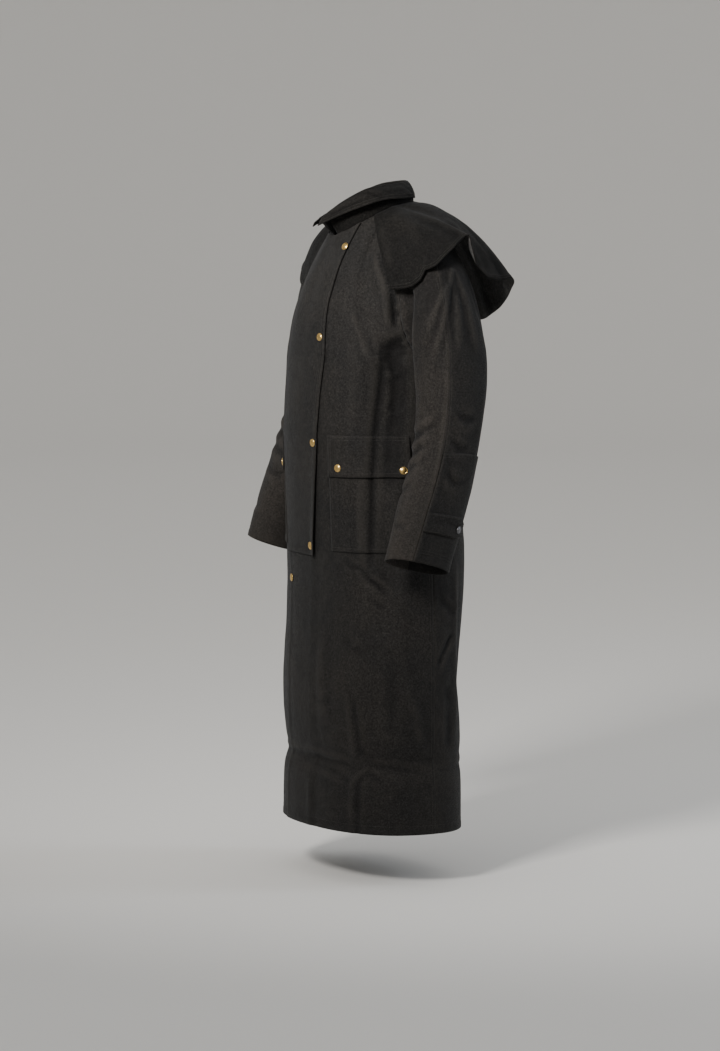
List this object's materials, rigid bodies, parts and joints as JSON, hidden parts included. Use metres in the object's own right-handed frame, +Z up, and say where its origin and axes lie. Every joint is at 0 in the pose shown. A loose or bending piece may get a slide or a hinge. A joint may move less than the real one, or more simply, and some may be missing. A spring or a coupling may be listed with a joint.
{
  "type": "duster coat",
  "caption": "Full-length duster coat in its worn shape with nobody inside: shoulder cape, fold-down collar, snapped storm flap, patch pockets with flaps, two-piece sleeves with cuff tabs.",
  "frame": {"origin": "the middle of the line between the shoulders, where the wearer holds the coat up", "axes": "+Z up towards the collar, the front faces -Y, the wearer's left is +X"},
  "size_m": [0.6616, 0.4139, 1.3468],
  "materials": {
    "cloth": "waxed cotton canvas, faint sheen",
    "brass_snap": "polished",
    "dark_snap": "dark, satin"
  },
  "bodies": {
    "root": {"front_left": "cloth", "front_right": "cloth", "skirt_right": "cloth", "back": "cloth", "storm_flap": "cloth", "collar_stand": "cloth", "collar_fall": "cloth", "cape": "cloth", "sleeve_front_left": "cloth", "sleeve_front_right": "cloth", "sleeve_back_left": "cloth", "sleeve_back_right": "cloth", "elbow_patch_left": "cloth", "elbow_patch_right": "cloth", "cuff_tab_left": "cloth", "cuff_tab_right": "cloth", "pocket_left": "cloth", "pocket_right": "cloth", "pocket_flap_left": "cloth", "pocket_flap_right": "cloth", "snap_flap_1": "brass_snap", "snap_flap_2": "brass_snap", "snap_flap_3": "brass_snap", "snap_flap_4": "brass_snap", "snap_lap": "brass_snap", "snap_pocket_left_front": "brass_snap", "snap_pocket_left_back": "brass_snap", "snap_pocket_right_front": "brass_snap", "snap_pocket_right_back": "brass_snap", "snap_cuff_left": "dark_snap", "snap_cuff_right": "dark_snap"}
  },
  "joints": []
}
